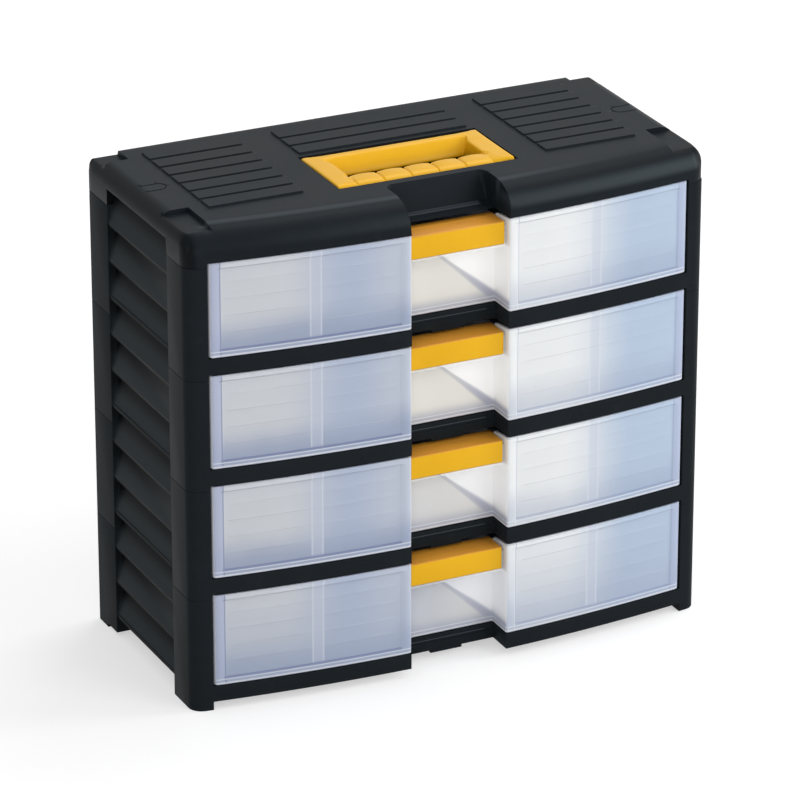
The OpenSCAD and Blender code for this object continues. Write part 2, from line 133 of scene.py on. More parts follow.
class Wire:
    """A value on its way through a material. Arithmetic on it adds Math nodes."""

    def __init__(self, nodes, socket):
        self.nodes, self.socket = nodes, socket

    def math(self, operation, *values):
        return self.nodes.node("ShaderNodeMath", {"operation": operation}, *values)

    def __add__(self, other): return self.math("ADD", self, other)
    def __radd__(self, other): return self.math("ADD", other, self)
    def __sub__(self, other): return self.math("SUBTRACT", self, other)
    def __rsub__(self, other): return self.math("SUBTRACT", other, self)
    def __mul__(self, other): return self.math("MULTIPLY", self, other)
    def __rmul__(self, other): return self.math("MULTIPLY", other, self)
    def __truediv__(self, other): return self.math("DIVIDE", self, other)
    def __rtruediv__(self, other): return self.math("DIVIDE", other, self)
    def __pow__(self, other): return self.math("POWER", self, other)
    def __rpow__(self, other): return self.math("POWER", other, self)
    def __mod__(self, other): return self.math("FLOORED_MODULO", self, other)
    def __rmod__(self, other): return self.math("FLOORED_MODULO", other, self)
    def __abs__(self): return self.math("ABSOLUTE", self)

    def larger(self, other):
        """The larger of two values: where they are masks, one or the other."""
        return self.math("MAXIMUM", self, other)

    def between(self, low, high):
        """0 below low, 1 above high, a smooth rise between them."""
        return self.nodes.node("ShaderNodeMapRange", {"interpolation_type": "SMOOTHSTEP"},
                               self, low, high)

    def near(self, middle, half, soft):
        """1 within half of middle, falling to 0 over soft."""
        return 1 - abs(self - middle).between(half, half + soft)


class Nodes:
    """The nodes of one material, or of the surround."""

    def __init__(self, tree):
        self.tree = tree

    def node(self, kind, settings=None, *values, out=0, **named):
        """Adds any node: its settings first, then its sockets by order or by name, whose spaces
        are written as underscores. Gives its first output in use as a wire, or the one that out
        names, or a list where out is a tuple of names."""
        made = self.tree.nodes.new(kind)
        for key, value in (settings or {}).items():
            setattr(made, key, value)
        plugs = list(zip([s for s in made.inputs if s.enabled], values))
        plugs += [(made.inputs[key.replace("_", " ")], value) for key, value in named.items()]
        for socket, value in plugs:
            if isinstance(value, Wire):
                self.tree.links.new(value.socket, socket)
            else:
                socket.default_value = value
        if isinstance(out, tuple):
            return [Wire(self, made.outputs[name]) for name in out]
        if out == 0:
            return Wire(self, next(o for o in made.outputs if o.enabled))
        return Wire(self, made.outputs[out])


class Finish(Nodes):
    """A material with one Principled shader, its fixed values set straight on the sockets."""

    def __init__(self, name, **fixed):
        self.material = bpy.data.materials.new(name)
        self.material.use_nodes = True
        super().__init__(self.material.node_tree)
        self.skin = self.tree.nodes["Principled BSDF"]
        for socket, value in fixed.items():
            self.skin.inputs[socket.replace("_", " ")].default_value = value
        self.place = self.node("ShaderNodeTexCoord", out="Object")
        self.x, self.y, self.z = self.node("ShaderNodeSeparateXYZ", {}, self.place,
                                           out=("X", "Y", "Z"))

    def row_height(self, start=10 * MM):
        """Height above the base of the row that a point is in. A row counts from start above its
        base, because a tray's rim stands that close over the next row's base."""
        return (self.z - (BASE + start)) % ROW_H + start

    def noise(self, scale, detail, stretch=None, rough=0.5):
        """Noise on the object's own place, its grains 1 / scale metres across, less where
        stretch squeezes them along x, y and z."""
        place = self.place
        if stretch:
            place = self.node("ShaderNodeMapping", {}, place, Scale=stretch, out="Vector")
        return self.node("ShaderNodeTexNoise", {}, Vector=place, Scale=scale, Detail=detail,
                         Roughness=rough)

    def bump(self, height, distance, strength):
        return self.node("ShaderNodeBump", {}, Height=height, Distance=distance,
                         Strength=strength)

    def blend(self, amount, a, b):
        """Colour a where amount is 0, colour b where it is 1."""
        return self.node("ShaderNodeMix", {"data_type": "RGBA", "blend_type": "MIX"},
                         amount, a, b)

    def coats(self, colour, *coats):
        """A colour with coats laid over it in turn, each a tone and how much of it shows."""
        for tone, amount in coats:
            colour = self.blend(amount, colour, tone)
        return colour

    def feed(self, **sockets):
        """Links what varies over the surface to the shader and gives the material."""
        for name, wire in sockets.items():
            self.tree.links.new(wire.socket, self.skin.inputs[name.replace("_", " ")])
        return self.material


def rgb(red, green, blue):
    """A colour written as it shows on a screen, 0 to 255, as the linear values that a shader
    takes."""
    return tuple((c / 255 / 12.92 if c <= 10.31 else ((c / 255 + 0.055) / 1.055) ** 2.4)
                 for c in (red, green, blue)) + (1.0,)


def black_plastic(name, gloss, dark, light):
    """Black polypropylene: fine spark-eroded grain, faint flow clouds and rubbed patches. Gives
    the finish, and its colour for the piece's own tones."""
    f = Finish(name, Specular_IOR_Level=gloss, IOR=1.5)
    cloud = f.noise(scale=14, detail=4)
    rub = f.noise(scale=60, detail=5, rough=0.65).between(0.55, 0.8)
    grain = f.bump(f.noise(scale=2600, detail=2), 0.05 * MM, 0.5)
    f.feed(Roughness=0.4 + 0.12 * (cloud - 0.5) + 0.06 * rub, Normal=grain)
    return f, f.coats(f.blend(cloud, dark, light), (rgb(44, 49, 53), rub * 0.25))


def cover_plastic():
    """The cover's black, with light and shade painted into it: a painted shade band and a painted
    highlight band round its rolled shoulder, a painted highlight line behind them where the top
    turns into the shoulder, fading to the right, painted shade on the rolled sides, and painted
    highlights on the beads in the notch."""
    f, colour = black_plastic("cover_plastic", 0.05, rgb(22, 27, 31), rgb(29, 35, 40))
    wide = abs(f.x)
    behind = f.y - BOW_Y + (BOW_R ** 2 - f.x * f.x) ** 0.5  # distance behind the bowed front
    beside = wide.between(36.2 * MM, 37 * MM)  # beside the notch
    # painted highlight: a light line where the flat top turns into the shoulder, fading to the
    # right
    ridge_highlight = (behind.near(19.5 * MM, 0.8 * MM, 3.5 * MM) * beside
             * (1 - wide.between(172 * MM, 180 * MM))
             * (1 - 0.8 * f.x.between(20 * MM, 140 * MM)))
    shoulder = ((1 - behind.between(12 * MM, 20 * MM)) * beside
                * f.x.between(-190 * MM, 190 * MM))
    # painted shade: a dark band just under the shoulder's top edge
    shoulder_shade = f.z.near(COVER_TOP - 3.2 * MM, 0.6 * MM, 2.8 * MM) * shoulder
    # painted highlight: a pale band lower on the shoulder
    shoulder_highlight = f.z.near(COVER_TOP - 10.5 * MM, 1.2 * MM, 5 * MM) * shoulder
    # painted shade on the rolled sides, a little less near the top
    side_shade = (wide.between(HALF_W - 9 * MM, HALF_W - 5 * MM)
             * (1 - 0.4 * f.z.between(COVER_TOP - 5.5 * MM, COVER_TOP - 2.5 * MM)))
    # painted highlights: light lines on the two beads across the notch's floor
    front, back = ((f.y - FRONT).near(p, 0.3 * MM, 0.4 * MM) for p in NOTCH_BEADS)
    bead_highlight = (front + back) * (1 - wide.between(28.5 * MM, 30.5 * MM))
    return f.feed(Base_Color=f.coats(
        colour, (rgb(66, 73, 78), ridge_highlight * 0.6), (rgb(14, 17, 20), shoulder_shade * 0.5),
        (rgb(70, 78, 82), shoulder_highlight * 0.55), (rgb(10, 12, 14), side_shade * 0.7),
        (rgb(78, 84, 90), bead_highlight * 0.6)))


def frame_plastic():
    """The row frames' black: louvre boards painted lighter where light falls on them, painted
    shade where each board tucks in under the next, and a thin painted highlight line on the bar
    across each recess."""
    f, colour = black_plastic("frame_plastic", 0.02, rgb(27, 31, 34), rgb(33, 38, 42))
    wide, pitch = abs(f.x), ROW_H / LOUVRES
    board = (f.z - (BASE + LOUVRE_LOW)) % pitch  # height above the board's lower edge
    off_middle = abs(f.y - LOUVRE_Y)
    # painted light: the louvre boards are painted lighter than the rest of the frame, where light
    # falls on their faces
    sides = (wide.between(HALF_W - LOUVRE_DEEP, HALF_W - LOUVRE_DEEP + 1 * MM)
             * (1 - off_middle.between(LOUVRE_HALF - 0.5 * MM, LOUVRE_HALF + 0.5 * MM)))
    # painted shade where each board tucks in under the next, and on each board's lowest strip,
    # which hides its light lower rim
    tucked_shade = (board.between(0.35 * pitch, 0.8 * pitch)
              + (1 - board.between(0.03 * pitch, 0.09 * pitch))) * sides
    # painted highlight: a thin light line along the bar across each recess
    bead_highlight = (((f.z - BASE) % ROW_H).near(11.4 * MM, 0.1 * MM, 0.4 * MM)
            * (1 - wide.between(29 * MM, 30.5 * MM)) * (1 - f.y.between(-68 * MM, -67 * MM)))
    return f.feed(Base_Color=f.coats(
        colour, (rgb(44, 50, 53), sides * 0.6), (rgb(6, 7, 8), tucked_shade * 0.95),
        (rgb(92, 98, 104), bead_highlight * 0.45)))


def yellow_plastic():
    """Glossy yellow moulding: a slight waviness, sink marks and a few dull smears. The pulls' tops
    carry a streaked brown painted shade and dark reflection from the black bar above them."""
    f = Finish("yellow_plastic", Specular_IOR_Level=0.2, IOR=1.5)
    cloud = f.noise(scale=45, detail=3)
    smear = f.noise(scale=30, detail=5, stretch=(1, 3, 3)).between(0.5, 0.75)
    streak = f.noise(scale=60, detail=4, stretch=(0.5, 6, 1))
    on_pulls = 1 - f.z.between(SEAM + 1.5 * MM, SEAM + 3.5 * MM)
    # painted shade and dark reflection, streaked brown, on the pulls' tops under the black bar
    # above
    pull_top_shade = f.row_height().between(PULL_TOP - 0.9 * MM, PULL_TOP - 0.2 * MM) * on_pulls
    return f.feed(
        Base_Color=f.coats(f.blend(cloud, rgb(228, 170, 16), rgb(237, 182, 26)),
                           (rgb(214, 142, 62), pull_top_shade * (0.4 + 0.7 * streak))),
        Roughness=0.32 + 0.14 * smear,
        Normal=f.bump(f.noise(scale=700, detail=2), 0.03 * MM, 0.4))


def clear_plastic():
    """Milky clear drawer plastic: its panes, its recess in the middle, and thin strokes over both,
    with light and shade painted into the colour, and a painted glow in the recess."""
    # the emission gives the recess a painted glow, standing in for light carried through the milky
    # plastic
    f = Finish("clear_plastic", Specular_IOR_Level=0.3, IOR=1.49, Subsurface_Weight=0.3,
               Subsurface_Scale=0.008, Subsurface_Radius=(1.0, 1.0, 1.0), Emission_Strength=0.19)
    f.cloud = f.noise(scale=18, detail=2)
    f.wide, f.row = abs(f.x), f.row_height()
    f.up = f.row - TRAY_LOW  # height above the tray's underside
    # 0 on the left panes, 1 on the right ones, which are painted paler where more light falls
    f.right = f.x.between(-10 * MM, 10 * MM)
    panes, pale = pane_tones(f)
    beside = f.wide.between(RECESS_X - 0.2 * MM, RECESS_X + 1.2 * MM)
    recess, painted_glow = recess_tones(f)
    return f.feed(
        Base_Color=pane_strokes(f, f.blend(beside, recess, panes), pale),
        Emission_Color=f.blend(painted_glow * (1 - beside), rgb(0, 0, 0), rgb(250, 248, 243)),
        Roughness=0.25 + 0.12 * f.noise(scale=80, detail=3), Alpha=0.93 + 0.05 * f.cloud,
        Normal=f.bump(f.noise(scale=400, detail=2), 0.02 * MM, 0.3))


def pane_tones(f):
    """The panes' colour: grey-white and lavender at the left turn to white and pale blue at the
    right in soft clouds, the right half painted paler where more light falls on it, with a painted
    pool of light right of the middle; painted shade deepens all of it towards the floor of each
    drawer, at the outer step and low on the cabinet. Gives the colour, and where it is palest."""
    right, drift = f.right, f.x + 10 * MM * (f.cloud - 0.5)
    frost, lavender, pale_blue = rgb(214, 217, 223), rgb(180, 192, 216), rgb(184, 202, 226)
    frosted = drift.near(-150 * MM, 20 * MM, 50 * MM)
    # painted light: a pool of light on the right panes
    painted_light_pool = drift.near(60 * MM, 18 * MM, 58 * MM) * right
    # painted shade towards the floor of each drawer
    floor = 1 - (f.up + 12 * MM * (f.cloud - 0.5)).between(6 * MM, 32 * MM)
    # painted shade along the pane's outer step
    rim = f.wide.between(PANE_X[1] - 0.6 * MM, PANE_X[1] + 0.4 * MM)
    # the right panes painted paler as painted light; the last coat is painted shade low on the
    # cabinet
    colour = f.coats(
        f.blend(right, lavender, pale_blue), (frost, frosted * 0.95),
        (frost, drift.near(-40 * MM, 8 * MM, 30 * MM) * 0.4), (rgb(245, 248, 250), painted_light_pool),
        (rgb(156, 168, 194), floor * (0.9 - 0.45 * right)),
        (rgb(176, 184, 212), rim * (0.8 - 0.2 * right)),
        (rgb(172, 184, 208), (1 - f.z.between(30 * MM, 100 * MM)) * 0.5))
    return colour, painted_light_pool.larger(frosted)


def recess_tones(f):
    """The recess: warm white, whiter above the drawer's floor line that runs down to the right, as
    painted light, with painted shade along that line and low down. Gives the colour, and where a
    painted glow is laid on."""
    slope, at_middle = 0.884, 50.8 * MM  # the floor line's fall to the right, and height at x 0
    slant = f.row + slope * f.x - at_middle  # height above that line
    outside = 1 - f.y.between(-65.5 * MM, -63 * MM)
    # painted light: the wall is whiter above the floor line
    above_line = slant.between(0.2 * MM, 2 * MM) * outside
    rightwards = f.x.between(-2 * MM, 34 * MM)
    # painted shade along the drawer's floor line as it shows through the wall
    line = (slant / (0.6 + 0.9 * rightwards)).near(0, 1.1 * MM, 3 * MM) * outside
    # painted shade low on the cabinet, less in the middle
    painted_low_shade = (1 - f.z.between(50 * MM, 190 * MM)) * (1 - f.x.between(-30 * MM, 30 * MM) * 0.5)
    colour = f.coats(
        f.blend(above_line, rgb(236, 234, 227), rgb(250, 250, 250)),
        (rgb(176, 180, 200), line * (0.35 + rightwards * 0.5)),
        # painted shade at the bottom of the recess
        (rgb(180, 184, 200), (1 - f.up.between(2 * MM, 12 * MM)) * 0.85),
        (rgb(186, 192, 208), painted_low_shade * 0.75))
    # painted glow: where the recess glows, most above the floor line
    painted_glow = (outside * (0.25 + 0.75 * above_line) * (1 - line) * f.up.between(3 * MM, 16 * MM)
           * (1 - f.row.between(61.5 * MM, 62.5 * MM)))
    return colour, painted_glow


def pane_strokes(f, colour, pale):
    """Thin strokes over the drawers' colour: painted shade along the pane's steps, painted
    highlights along the border's and the tray's outer edges, a greyer band along the rim's top,
    the dividers' guides and the fine label lines, which are darker where the pane is pale. A
    stroke is written as its place, half its width and the length over which it fades."""
    wide, row, up, right = f.wide, f.row, f.up, f.right
    pane_left, pane_right = PANE_X
    pane_up = PANE_Z[0] - TRAY_LOW
    inside = (wide.between(pane_left - 0.2 * MM, pane_left + 0.6 * MM)
              * (1 - wide.between(pane_right + 0.4 * MM, pane_right + 1.2 * MM)))
    # painted shade along the pane's outer and lower steps
    step = wide.near(pane_right - 0.3 * MM, 0.2 * MM, 0.6 * MM).larger(
        up.near(pane_up + 0.3 * MM, 0.4 * MM, 0.8 * MM)) * inside
    # painted shade at the inner step of the right panes
    inner_step_shade = (wide.near(pane_left + 0.3 * MM, 0.2 * MM, 0.5 * MM) * right
                  * up.between(pane_up, pane_up + 0.6 * MM))
    # painted highlight: a white line along the border beside the pane's inner and lower edges
    white_edge_highlight = (wide.near(pane_left - 0.6 * MM, 0.1 * MM, 0.4 * MM) * right).larger(
        up.near(pane_up - 0.8 * MM, 0.1 * MM, 0.5 * MM))
    # painted shade under the pane's top step
    top_step_shade = row.near(PANE_Z[1] - 0.1 * MM, 0.2 * MM, 0.6 * MM) * inside
    on_pane = up.between(pane_up, pane_up + 3 * MM)
    guides = wide.near(DIVIDER_X - 3.8 * MM, 0.2 * MM, 0.7 * MM).larger(
        wide.near(DIVIDER_X + 3.8 * MM, 0.2 * MM, 0.7 * MM)) * on_pane
    between_guides = wide.near(DIVIDER_X, 3 * MM, 1 * MM) * on_pane
    label = (((up - LINE_LOW) % LINE_PITCH).near(LINE_PITCH, 0.12 * MM, 0.35 * MM)
             * up.between(12 * MM, 16 * MM)
             * f.noise(scale=30, detail=2, stretch=(0.4, 1, 3)).between(0.42, 0.6)
             * (1 - row.between(70 * MM, 73 * MM)) * wide.between(46 * MM, 49 * MM)
             * (1 - wide.between(165 * MM, 168 * MM)))
    label_tint = f.blend(pale, rgb(216, 225, 240), rgb(150, 148, 156))
    # painted highlight along the tray's outer side and bottom edges
    outer_edge_highlight = wide.between(TRAY_X - 1.2 * MM, TRAY_X - 0.4 * MM).larger(
        up.near(1.4 * MM, 0.4 * MM, 0.5 * MM))
    return f.coats(
        colour, (rgb(128, 138, 172), step * (0.75 - 0.4 * right)),
        (rgb(176, 184, 202), inner_step_shade * 0.5), (rgb(240, 244, 249), white_edge_highlight * 0.6),
        (rgb(140, 146, 164), top_step_shade * 0.5), (rgb(204, 211, 230), between_guides * 0.35),
        (rgb(226, 231, 242), guides * 0.5), (label_tint, label * 0.45),
        (rgb(160, 166, 182), row.between(TRAY_TOP - 1.5 * MM, TRAY_TOP - 1 * MM) * 0.35),
        (rgb(240, 243, 248), outer_edge_highlight * 0.7))


def divider_plastic():
    """Thin clear dividers, frosted in soft clouds."""
    f = Finish("divider_plastic", Specular_IOR_Level=0.4, IOR=1.49)
    cloud = f.noise(scale=25, detail=2)
    return f.feed(Base_Color=f.blend(cloud, rgb(196, 204, 224), rgb(232, 236, 242)),
                  Roughness=0.25 + 0.1 * cloud, Alpha=0.6 + 0.2 * cloud)


finishes = {make.__name__: make() for make in (cover_plastic, frame_plastic, yellow_plastic,
                                               clear_plastic, divider_plastic)}

# the dividers are the CAD's own plates; new pieces stand for all the others
for name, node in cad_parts.items():
    if name.startswith("divider"):
        node.data.materials.clear()
        node.data.materials.append(finishes["divider_plastic"])


# ------------------------------------------------------------ shape building

def inset(corners, d):
    """The corners of a counterclockwise polygon moved so that every side shifts inwards by d:
    corner + d (na + nb) / (1 + na.nb), with na and nb the left normals of its two sides."""
    p = np.asarray(corners, float)
    a, b = p - np.roll(p, 1, 0), np.roll(p, -1, 0) - p
    na, nb = (np.stack([-s[:, 1], s[:, 0]], 1) / np.linalg.norm(s, axis=1)[:, None]
              for s in (a, b))
    return p + d * (na + nb) / (1 + (na * nb).sum(1, keepdims=True))


def fillet(corners, radii, sides=None, steps=5):
    """A closed polygon with rounded corners as one row of points: each corner is an arc of its
    radius that touches both sides, and each side's straight run carries points at the given
    fractions of its length."""
    p = np.asarray(corners, float)
    n = len(p)
    before = p - np.roll(p, 1, 0)
    before /= np.linalg.norm(before, axis=1)[:, None]
    after = np.roll(before, -1, 0)
    turn = np.arctan2(before[:, 0] * after[:, 1] - before[:, 1] * after[:, 0],
                      (before * after).sum(1))
    trim = np.asarray(radii, float) * np.tan(abs(turn) / 2)
    start, end = p - before * trim[:, None], p + after * trim[:, None]
    out = []
    for i in range(n):
        left = np.array([-before[i, 1], before[i, 0]]) * np.sign(turn[i])
        centre = start[i] + left * radii[i]
        t = np.linspace(0, turn[i], steps)[:, None]
        r = start[i] - centre
        out.append(centre + r * np.cos(t) + np.array([-r[1], r[0]]) * np.sin(t))
        run = np.asarray(sides[i] if sides is not None else [], float)[:, None]
        out.append(end[i] + (start[(i + 1) % n] - end[i]) * run)
    return np.concatenate(out)


def even(n):
    """n fractions spread evenly inside a run, its ends left out."""
    return np.arange(1, n + 1) / (n + 1)


def round_step(t):
    """0 below 0, 1 above 1, and 3tt - 2ttt between."""
    t = np.clip(t, 0, 1)
    return t * t * (3 - 2 * t)


def band(v, low, high, edge):
    """1 between low and high, with smooth edges that lie inside the band."""
    return round_step((v - low) / edge) * round_step((high - v) / edge)


def flat(loop, z):
    """A row of plan points at height z."""
    return np.column_stack([loop, np.broadcast_to(z, len(loop))])


def across(section, x):
    """A section of y and z, stood up at x."""
    return np.column_stack([np.full(len(section), x), section])


def bow(x):
    """How far the bowed front stands back at x: R - sqrt(R^2 - x^2)."""
    return BOW_R - np.sqrt(BOW_R ** 2 - x ** 2)


class Moulding:
    """One piece built from patches, which are joined where their edges meet."""

    def __init__(self, name):
        self.name, self.points, self.faces, self.count = name, [], [], 0

    def keep(self, points):
        self.points.append(points)
        self.count += len(points)
        return self

    def grid(self, points, loop_u=False, loop_v=False, shown=None):
        """A patch on a grid of points, u by v by 3, closed on itself where asked; shown leaves
        out the faces where it is false."""
        nu, nv = points.shape[:2]
        i = np.arange(nu if loop_u else nu - 1)[:, None]
        j = np.arange(nv if loop_v else nv - 1)[None, :]
        i1, j1 = (i + 1) % nu, (j + 1) % nv
        quads = np.stack(np.broadcast_arrays(i * nv + j, i1 * nv + j, i1 * nv + j1, i * nv + j1),
                         -1)
        quads = quads.reshape(-1, 4) if shown is None else quads[shown]
        self.faces += (quads + self.count).tolist()
        return self.keep(points.reshape(-1, 3))

    def cap(self, ring):
        """A flat face inside a closed row of points."""
        self.faces.append(list(range(self.count, self.count + len(ring))))
        return self.keep(ring)

    def bar(self, loops):
        """A closed bar through rows of points, capped at both ends."""
        loops = np.asarray(loops)
        self.grid(loops, loop_v=True)
        return self.cap(loops[0]).cap(loops[-1])

    def block(self, low, high, round_by=0.3 * MM):
        """A box with rounded upright edges and bevelled ends."""
        (x0, y0, z0), (x1, y1, z1) = low, high
        r = min(round_by, (x1 - x0) / 2.2, (y1 - y0) / 2.2, (z1 - z0) / 2.2)
        square = [(x0, y0), (x1, y0), (x1, y1), (x0, y1)]
        wide = fillet(square, [r] * 4, steps=3)
        slim = fillet(inset(square, r * 0.7), [r * 0.3] * 4, steps=3)
        return self.bar([flat(slim, z0), flat(wide, z0 + r * 0.7), flat(wide, z1 - r * 0.7),
                         flat(slim, z1)])

    def made(self, finish, body, node, sharp=40):
        """Edges that turn by more than sharp degrees stay crisp."""
        mesh = bpy.data.meshes.new(self.name)
        mesh.from_pydata(np.concatenate(self.points).tolist(), [], self.faces)
        b = bmesh.new()
        b.from_mesh(mesh)
        bmesh.ops.delete(b, geom=[v for v in b.verts if not v.link_faces], context="VERTS")
        bmesh.ops.remove_doubles(b, verts=b.verts, dist=0.002 * MM)
        bmesh.ops.recalc_face_normals(b, faces=b.faces)
        b.to_mesh(mesh)
        b.free()
        declare(self.name, mesh, finish, body, node, sharp)


def declare(name, mesh, finish, body, node, sharp):
    """Puts a finished mesh in the scene as the piece that stands for a CAD node."""
    mesh.shade_smooth()
    mesh.set_sharp_from_angle(angle=math.radians(sharp))
    mesh.materials.clear()
    mesh.materials.append(finishes[finish])
    piece = bpy.data.objects.new(name, mesh)
    bpy.context.scene.collection.objects.link(piece)
    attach(piece, body)
    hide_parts(node)
    return piece


# ------------------------------------------------------------ row frames

def row_frame(k):
    """Row frame: a copy of the CAD part with its points merged, its flat faces joined and its
    edges rounded over."""
    node = f"frame_{k}"
    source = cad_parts[node]
    mesh = source.data.copy()
    mesh.transform(source.matrix_world)
    b = bmesh.new()
    b.from_mesh(mesh)
    bmesh.ops.remove_doubles(b, verts=b.verts, dist=0.005 * MM)
    bmesh.ops.dissolve_limit(b, angle_limit=math.radians(0.3), verts=b.verts, edges=b.edges)
    b.to_mesh(mesh)
    b.free()
    piece = declare(node + "_soft", mesh, "frame_plastic", "cabinet", node, sharp=35)
    edge = piece.modifiers.new("rounded edges", "BEVEL")
    edge.width, edge.segments, edge.limit_method = 0.45 * MM, 2, "ANGLE"
    edge.angle_limit, edge.use_clamp_overlap = math.radians(40), False


# ------------------------------------------------------------ drawers

def bowed(loop):
    """A plan loop drawn with a straight front, bent to the bow: y moves back by bow(x) at the
    front and by less and less from 3 mm behind it to 22 mm."""
    weight = 1 - np.clip((loop[:, 1] - FRONT - 3 * MM) / (19 * MM), 0, 1)
    return np.column_stack([loop[:, 0], loop[:, 1] + bow(loop[:, 0]) * weight])


def tray_plans():
    """The outside and the inside of a tray's wall in plan, point for point: the plan's rounded
    corners, with points that crowd on the front runs where the pane starts and ends."""
    plan = [(-TRAY_X, FRONT), (-RECESS_X, FRONT), (-RECESS_X, RECESS_Y), (RECESS_X, RECESS_Y),
            (RECESS_X, FRONT), (TRAY_X, FRONT), (TRAY_X, TRAY_BACK), (-TRAY_X, TRAY_BACK)]
    near_edges = np.array([1.2, 3.5, 6.4, 6.8, 7.2, 7.6, 8.4]) * MM / (TRAY_X - RECESS_X)
    front = np.concatenate([near_edges, np.linspace(0.08, 0.92, 22), 1 - near_edges[::-1]])
    sides = [front, even(3), even(6), even(3), front, even(8), even(20), even(8)]
    outer_radii = np.array([2.4, 1.8, 1.0, 1.0, 1.8, 2.4, 2.5, 2.5]) * MM
    inner_radii = np.array([0.6, 0.3, 2.6, 2.6, 0.3, 0.6, 0.6, 0.6]) * MM
    return (bowed(fillet(plan, outer_radii, sides)),
            bowed(fillet(inset(plan, WALL), inner_radii, sides)))


def tray_section(lines):
    """The section of a tray's wall as t, 0 outside to 1 inside, and height z: up the outside,
    over the rounded rim and down the inside, with heights that crowd at the pane's edges and at
    the label lines."""
    quarter = np.linspace(0, np.pi / 2, 4)
    less_sin, less_cos = 1 - np.sin(quarter), 1 - np.cos(quarter)
    foot_r, rim_r = 1.2 * MM, 0.75 * MM
    heights = np.unique(np.round(np.concatenate(
        [np.linspace(TRAY_LOW + foot_r, TRAY_TOP - rim_r, 10),
         PANE_Z[0] + np.array([-0.4, -0.2, 0, 0.25, 0.5]) * MM,
         PANE_Z[1] + np.array([-0.5, -0.25, 0, 0.2, 0.4]) * MM]
        + [line + np.array([-0.35, 0, 0.35]) * MM for line in lines]), 6))
    t = np.concatenate([less_sin * foot_r / WALL, heights * 0, less_cos * rim_r / WALL,
                        1 - less_sin * rim_r / WALL, [1, 1, 1]])
    z = np.concatenate([TRAY_LOW + less_cos * foot_r, heights, TRAY_TOP - less_sin * rim_r,
                        TRAY_TOP - less_cos * rim_r,
                        [TRAY_TOP - 20 * MM, TRAY_LOW + 12 * MM, TRAY_LOW + 2 * MM]])
    return t, z


def tray_wall():
    """The tray's wall as a grid of points: outer + (inner - outer) t at height z. On the front
    the outside also sinks by the pane's relief, less the fine ribs on it, and the walls of the
    middle recess slope down to the pull."""
    outer, inner = tray_plans()
    lines = TRAY_LOW + LINE_LOW + LINE_PITCH * np.arange(1, LINES + 1)
    t, z = tray_section(lines)
    points = outer[:, None] + (inner - outer)[:, None] * t[None, :, None]
    points = np.dstack([points, np.broadcast_to(z, points.shape[:2])])

    # the panes, on the outside of both front runs
    x, height = abs(points[..., 0]), points[..., 2]
    on_front = (outer[:, 1] < FRONT + 20 * MM) & (abs(outer[:, 0]) > RECESS_X + 1.9 * MM)
    on_front = on_front[:, None] & (t < 0.01)[None]
    pane = band(x, *PANE_X, PANE_EDGE) * band(height, *PANE_Z, PANE_EDGE)
    rib = sum(np.clip(1 - abs(height - line) / LINE_HALF, 0, 1) for line in lines)
    rib *= sum((x > start) & (x < end) for start, end in LINE_RUNS)
    points[..., 1] += np.where(on_front, pane * (PANE_DEEP - LINE_HIGH * rib), 0)

    # the recess: side walls that fall by 3.2 mm to the back, and a lower wall behind the pull
    depth = np.clip((points[..., 1] - FRONT - 2 * MM) / (22 * MM), 0, 1)
    recess = (abs(outer[:, 0]) < RECESS_X + 4 * MM) & (outer[:, 1] < RECESS_Y + 4 * MM)
    behind = (recess & (outer[:, 1] > RECESS_Y - 0.5 * MM))[:, None]
    top = np.where(behind, SHELF_TOP, TRAY_TOP - 3.2 * MM * depth)
    points[..., 2] = np.where(recess[:, None], np.minimum(points[..., 2], top), points[..., 2])
    return points


def tray(k):
    """Drawer tray: the wall, a floor closed inside and underneath, guide ribs that hold the
    dividers, and the shelf and lip under the pull."""
    base = BASE + (k - 1) * ROW_H
    m = Moulding(f"tray_{k}")
    wall = tray_wall() + (0, 0, base)
    m.grid(wall, loop_u=True)
    m.cap(wall[:, 0]).cap(wall[:, -1])

    guide, slack = 1.2 * MM, 1.6 * MM  # a guide's width, and from a divider's middle to its own
    low, high = base + TRAY_LOW + 1 * MM, base + TRAY_TOP - 7 * MM
    for cx in (-DIVIDER_X, -CENTRE_DIVIDER_X, CENTRE_DIVIDER_X, DIVIDER_X):
        for side in (-1, 1):
            x0 = cx + side * slack - guide / 2
            m.block((x0, TRAY_BACK - 4.4 * MM, low), (x0 + guide, TRAY_BACK - 2 * MM, high))
            if abs(cx) == DIVIDER_X:
                y = FRONT + bow(cx) + 2 * MM
                m.block((x0, y, low), (x0 + guide, y + 2.4 * MM, high))

    lip, thick = FRONT + 6.7 * MM, 1.7 * MM
    shelf, lip_low = base + SHELF_TOP, base + TRAY_TOP - 20.3 * MM
    end = RECESS_X + 1 * MM
    m.block((-end, lip, shelf - thick), (end, RECESS_Y + 1 * MM, shelf))
    m.block((-end, lip, lip_low), (end, lip + thick, shelf - 0.4 * MM))
    m.block((-PULL_X, lip - 2 * MM, lip_low), (PULL_X, lip + 1 * MM, lip_low + 1.3 * MM))
    m.made("clear_plastic", f"drawer_{k}", f"drawer_tray_{k}")


